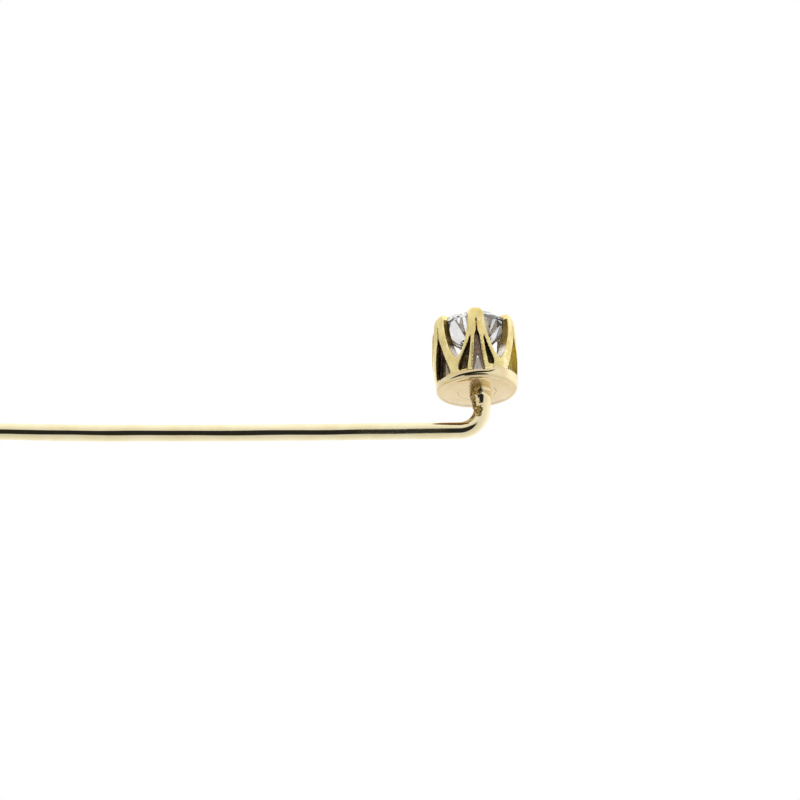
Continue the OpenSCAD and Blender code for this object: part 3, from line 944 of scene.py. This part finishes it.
def build_housing():
    """The bell, with the cone that the balls wedge in and the lip that holds the retainer."""
    lip_start = RETAINER_S + RETAINER_T + 0.01
    profile = [
        (MOUTH_R, 0.12), (MOUTH_R + 0.12, 0), (HOUSING_R - 0.75, 0), (HOUSING_R - 0.3, 0.1),
        (HOUSING_R - 0.08, 0.35), (HOUSING_R, 0.7), (HOUSING_R, 3.4), (HOUSING_R - 0.12, 3.6),
        (HOUSING_R - 0.12, 4.1), (HOUSING_R, 4.3), (HOUSING_R, HOUSING_LEN - 0.2),
        (HOUSING_R - 0.2, HOUSING_LEN), (LIP_R, HOUSING_LEN), (LIP_R, lip_start),
        (RETAINER_R, lip_start), (RETAINER_R, RETAINER_S), (CONE_END_R, RETAINER_S),
        (CONE_END_R, CONE_END), (CONE_START_R, CONE_START), (MOUTH_R, CONE_START),
    ]
    obj = lathe("housing", rounded(profile, 0.06), steps=160, closed=True)
    to_metres(obj, CLUTCH)
    return obj


def build_retainer():
    """The ring that closes the housing behind the spring."""
    start, end = RETAINER_S + 0.005, RETAINER_S + 0.005 + RETAINER_T
    inner, outer = SHANK_R + 0.05, RETAINER_R - 0.01
    profile = [
        (inner, start), (outer, start), (outer, end), (outer - 0.3, end), (outer - 0.34, end - 0.05),
        (inner + 0.12, end - 0.05), (inner + 0.08, end), (inner, end),
    ]
    obj = lathe("retainer", rounded(profile, 0.03), steps=128, closed=True)
    to_metres(obj, CLUTCH)
    return obj


def build_cage():
    """The collar with three ball holes, and its shank down to the knob."""
    top = KNOB_START + 1.2
    profile = [
        (CAGE_BORE, COLLAR_START), (COLLAR_R, COLLAR_START), (COLLAR_R, COLLAR_END),
        (SHANK_R, COLLAR_END), (SHANK_R, top), (CAGE_BORE, top),
    ]
    obj = lathe("cage", rounded(profile, 0.04), steps=144, closed=True)
    bore_r = BALL_R + 0.02
    for k in range(3):
        turn = Matrix.Rotation(math.radians(120 * k), 4, "Z")
        lay = Matrix.Rotation(math.radians(90), 4, "Y")
        place = Matrix.Translation((0, 0, BALL_S)) @ turn @ lay
        bore = lathe("bore", [(0, 0), (bore_r, 0), (bore_r, 3), (0, 3)], steps=48, place=place)
        boolean(obj, bore, "DIFFERENCE")
        remove(bore)
    to_metres(obj, CLUTCH)
    obj.data.shade_flat()
    use_modifier(obj, "WEIGHTED_NORMAL", keep_sharp=True)
    return obj


def build_knob():
    """A domed pull knob with flutes that run out softly at both ends."""
    end = KNOB_START + KNOB_LEN
    bore_end = end - 0.9
    socket_r, socket_end = SHANK_R + 0.01, KNOB_START + 1.21
    profile = [
        (socket_r, KNOB_START), (KNOB_R - 0.25, KNOB_START), (KNOB_R - 0.07, KNOB_START + 0.07),
        (KNOB_R, KNOB_START + 0.25),
    ]
    profile += [(KNOB_R, KNOB_START + 0.25 + 0.08 * k) for k in range(1, 56)]
    for k in range(17):
        a = math.pi / 2 * k / 16
        profile.append((0.35 + (KNOB_R - 0.35) * math.cos(a), end - 1.2 + 1.2 * math.sin(a)))
    profile += [
        (0, end), (0, bore_end), (CAGE_BORE, bore_end - 0.4), (CAGE_BORE, socket_end),
        (socket_r, socket_end),
    ]
    obj = lathe("knob", profile, steps=320, closed=True)
    for v in obj.data.vertices:
        r = math.hypot(v.co.x, v.co.y)
        rise = min(v.co.z - KNOB_START - 0.6, end - 1.8 - v.co.z) / 0.25
        if r < KNOB_R - 0.05 or rise <= 0:
            continue
        wave = 0.5 + 0.5 * math.cos(KNOB_FLUTES * math.atan2(v.co.y, v.co.x))
        depth = 0.12 * wave ** 1.5 * min(1.0, rise)
        v.co.x -= v.co.x / r * depth
        v.co.y -= v.co.y / r * depth
    to_metres(obj, CLUTCH)
    return obj


def build_ball(k):
    """One locking ball, in its hole of the cage."""
    angles = [math.pi * i / 32 for i in range(1, 32)]
    profile = [(BALL_R * math.sin(a), -BALL_R * math.cos(a)) for a in angles]
    profile = [(0, -BALL_R)] + profile + [(0, BALL_R)]
    obj = lathe(f"ball_{k + 1}", profile, steps=64)
    turn = Matrix.Rotation(math.radians(120 * k), 4, "Z")
    to_metres(obj, CLUTCH @ turn @ Matrix.Translation((BALL_ORBIT, 0, BALL_S)))
    return obj


def build_spring():
    """The return spring, with a closed turn at each end."""
    radius = SHANK_R + 0.05 + SPRING_WIRE
    start, end = COLLAR_END + SPRING_WIRE + 0.01, RETAINER_S - SPRING_WIRE - 0.01
    path = []
    for i in range(SPRING_TURNS * 48 + 1):
        t = i / 48
        if t < 1:
            rise = 0.2 * t * t
        elif t > SPRING_TURNS - 1:
            rise = end - start - 0.2 * (SPRING_TURNS - t) ** 2
        else:
            rise = 0.2 + (t - 1) / (SPRING_TURNS - 2) * (end - start - 0.4)
        a = 2 * math.pi * t
        path.append((radius * math.cos(a), radius * math.sin(a), start + rise))
    obj = sweep("spring", path, [SPRING_WIRE] * len(path), sides=16)
    to_metres(obj, CLUTCH)
    return obj


piece(build_housing(), "clutch", "gold_plate", plate_mat, "clutch_housing")
piece(build_retainer(), "clutch", "steel", steel_mat, "clutch_retainer")
piece(build_cage(), "plunger", "steel", steel_mat, "clutch_cage")
piece(build_knob(), "plunger", "gold_plate", plate_mat, "clutch_knob")
spring = build_spring()
piece(spring, "plunger", "steel", steel_mat, "clutch_spring")
# Pulling the knob closes the spring between the cage's collar and the retainer.
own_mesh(spring)
for k in range(3):
    piece(build_ball(k), "plunger", "steel", ball_mat, f"clutch_ball_{k + 1}")


# ---------------------------------------------------------------- light, floor and camera

# The photograph's camera looks level from this azimuth, rolled so that the wire lies across.
CAMERA_TURN = math.radians(113.5)
CAMERA_BACK = Vector((math.sin(CAMERA_TURN), -math.cos(CAMERA_TURN), 0))
CAMERA_RIGHT = Vector((0, 0, 1))
CAMERA_UP = CAMERA_BACK.cross(CAMERA_RIGHT)
# The tent's dark opening, as half angles round the way to the camera, and its brightness
OPENING_INNER = math.radians(29)
OPENING_OUTER = math.radians(36)
OPENING_LEVEL = 0.03
# Half the floor's width, and how far it lies under the part at rest, both in metres. The clutch
# comes down 15 mm when it is slid off.
FLOOR_HALF = 0.11
FLOOR_DROP = 0.02


def build_world():
    """A white light tent with a dark opening for the lens, in front of a plain white backdrop."""
    world = bpy.data.worlds.new("tent")
    bpy.context.scene.world = world
    n = Nodes(world)
    n.tree.nodes.clear()
    out = n.add("ShaderNodeOutputWorld")
    coord = n.add("ShaderNodeTexCoord").outputs["Generated"]

    def dot(direction):
        node = n.add("ShaderNodeVectorMath", operation="DOT_PRODUCT")
        node.inputs[1].default_value = direction
        n.link(coord, node.inputs[0])
        return node.outputs["Value"]

    opening = n.remap(
        dot(CAMERA_BACK), math.cos(OPENING_OUTER), math.cos(OPENING_INNER), 1, OPENING_LEVEL,
        "SMOOTHSTEP",
    )
    # Brighter toward the top of the picture than toward its foot, and behind the part than in front
    level = n.remap(dot(CAMERA_UP), -1, 1, 0.86, 1.04)
    front = n.remap(dot(CAMERA_BACK), -0.4, 0.9, 1.2, 0.82)
    light = n.add("ShaderNodeBackground", in_Color=(1, 1, 1, 1))
    n.link(n.math("MULTIPLY", n.math("MULTIPLY", opening, level), front), light.inputs["Strength"])
    backdrop = n.add("ShaderNodeBackground", in_Color=(1, 1, 1, 1), in_Strength=1.0)
    path = n.add("ShaderNodeLightPath")
    mix = n.add("ShaderNodeMixShader")
    n.link(path.outputs["Is Camera Ray"], mix.inputs[0])
    n.link(light.outputs[0], mix.inputs[1])
    n.link(backdrop.outputs[0], mix.inputs[2])
    n.link(mix.outputs[0], out.inputs["Surface"])


def build_floor():
    """A sheet of pale paper under the part."""
    corners = [(FLOOR_HALF * x, FLOOR_HALF * y, 0) for x, y in ((-1, -1), (1, -1), (1, 1), (-1, 1))]
    place = Matrix.Translation((0, 0, cad_box[0].z - FLOOR_DROP))
    floor = mesh_object("floor", corners, [(0, 1, 2, 3)], place)
    n = new_material("floor_paper")
    n.link(n.mix(n.noise(60, 3), (0.86, 0.86, 0.855), (0.9, 0.9, 0.895)), n.shader.inputs["Base Color"])
    n.shader.inputs["Roughness"].default_value = 0.9
    floor.data.materials.append(n.owner)


def build_camera():
    """The photograph's camera: far off, with the part across the picture."""
    distance = 350.0
    across = 48.0
    look = CAMERA_RIGHT * -3.53 + CAMERA_UP * 1.83
    data = bpy.data.cameras.new("camera")
    data.sensor_width = 36
    data.lens = 36 * distance / across
    data.clip_start, data.clip_end = 0.01, 10
    cam = bpy.data.objects.new("camera", data)
    bpy.context.scene.collection.objects.link(cam)
    turn = Matrix((CAMERA_RIGHT, CAMERA_UP, CAMERA_BACK)).transposed().to_4x4()
    cam.matrix_world = Matrix.Translation((look + CAMERA_BACK * distance) * MM) @ turn
    bpy.context.scene.camera = cam


build_world()
build_floor()
build_camera()
view_settings = bpy.context.scene.view_settings
view_settings.view_transform = "Standard"
view_settings.look = "None"
